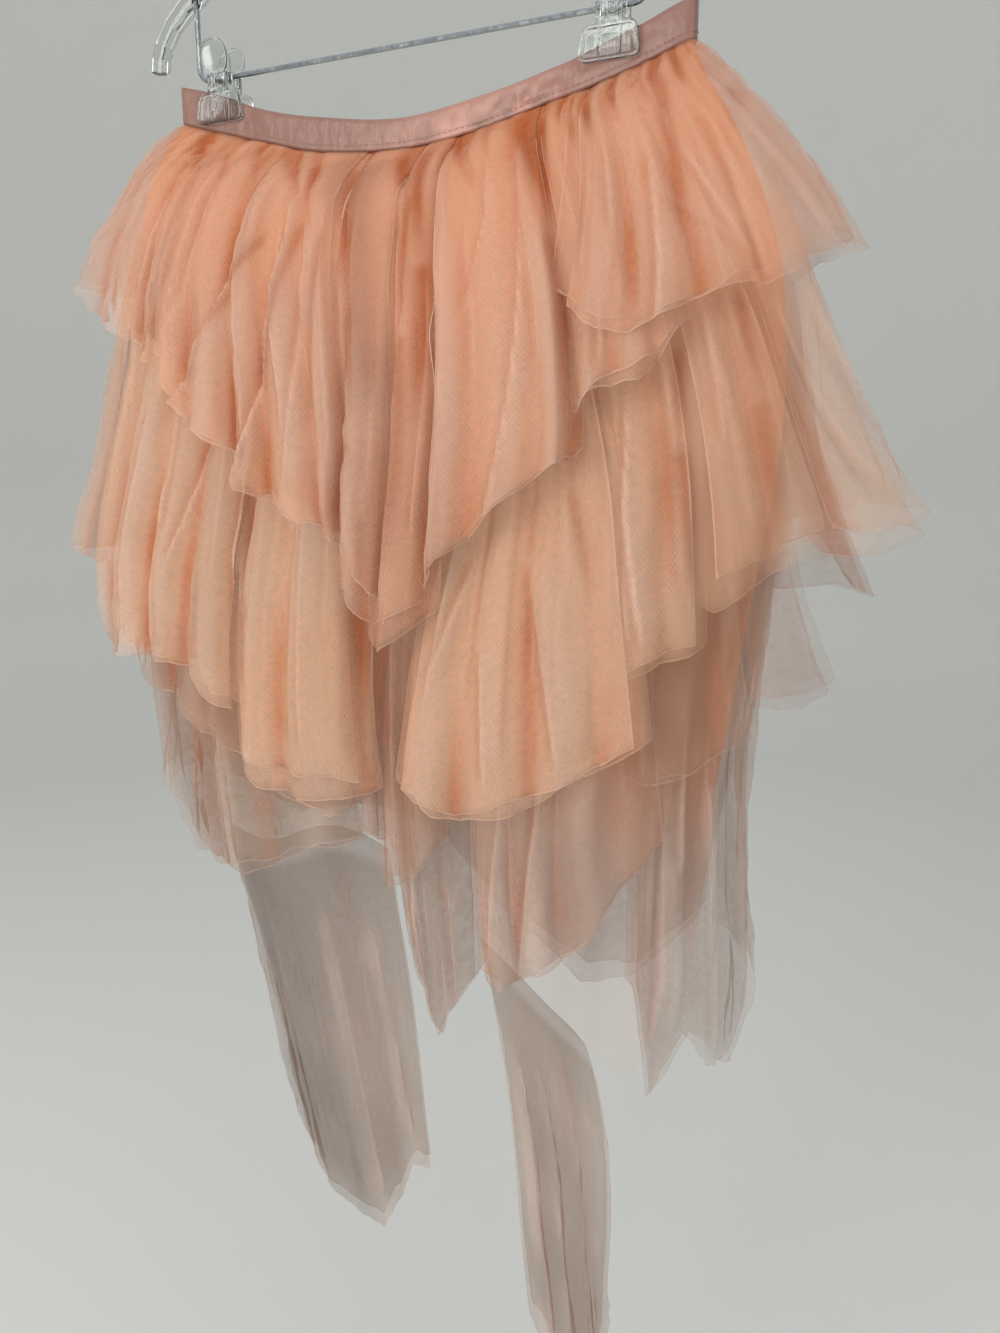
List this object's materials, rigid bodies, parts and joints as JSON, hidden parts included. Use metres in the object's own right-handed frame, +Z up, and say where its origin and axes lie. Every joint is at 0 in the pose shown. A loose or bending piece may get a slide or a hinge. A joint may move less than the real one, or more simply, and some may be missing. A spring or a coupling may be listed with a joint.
{
  "type": "high-low skirt on a clip hanger",
  "caption": "High-low skirt of layered net panels in uneven tiers with two long back tails and a satin waistband, hung from a clear clip hanger.",
  "frame": {"origin": "the inside top of the hanger's hook, where a rail carries it", "axes": "+Z up, -Y the front of the skirt, +X to the right as the front is seen"},
  "size_m": [0.5526, 0.2309, 1.1499],
  "materials": {
    "satin_band": "dusty pink satin over elastic, smooth sheen",
    "net_top": "peach tulle, fine soft net, several layers",
    "net_second": "peach tulle, fine soft net",
    "net_third": "peach tulle, sheer",
    "net_under": "pale peach tulle, very sheer",
    "net_base": "peach tulle, dense inner layer",
    "net_tail": "pale pink tulle, very sheer",
    "clear_plastic": "clear moulded plastic, glossy",
    "steel_wire": "bright plated steel wire"
  },
  "bodies": {
    "root": {"waistband": "satin_band", "base_tube": "net_base", "top_tier_far_left": "net_top", "top_tier_left": "net_top", "top_tier_grey_pleat": "net_top", "top_tier_centre_strip": "net_top", "top_tier_centre": "net_top", "top_tier_right_centre": "net_top", "top_tier_right": "net_top", "top_tier_back_right": "net_top", "top_tier_back_left": "net_top", "second_tier_far_left": "net_second", "second_tier_left": "net_second", "second_tier_left_centre": "net_second", "second_tier_centre": "net_second", "second_tier_right_centre": "net_second", "second_tier_right": "net_second", "second_tier_far_right": "net_second", "second_tier_back_right": "net_second", "second_tier_back_left": "net_second", "third_tier_left": "net_third", "third_tier_left_centre": "net_third", "third_tier_narrow_strip": "net_third", "third_tier_centre_strip": "net_third", "third_tier_centre": "net_third", "third_tier_right_centre": "net_third", "third_tier_right": "net_third", "third_tier_far_right": "net_third", "third_tier_back_right": "net_third", "third_tier_back_left": "net_third", "under_tier_left": "net_under", "under_tier_point": "net_under", "under_tier_right": "net_under", "under_tier_back_right": "net_under", "under_tier_back_left": "net_under", "tail_left": "net_tail", "tail_right": "net_tail", "hook": "steel_wire", "hanger_body": "clear_plastic", "clip_rod": "steel_wire", "clip_left_front_jaw": "clear_plastic", "clip_left_back_jaw": "clear_plastic", "clip_left_spring": "steel_wire", "clip_right_front_jaw": "clear_plastic", "clip_right_back_jaw": "clear_plastic", "clip_right_spring": "steel_wire"}
  },
  "joints": []
}
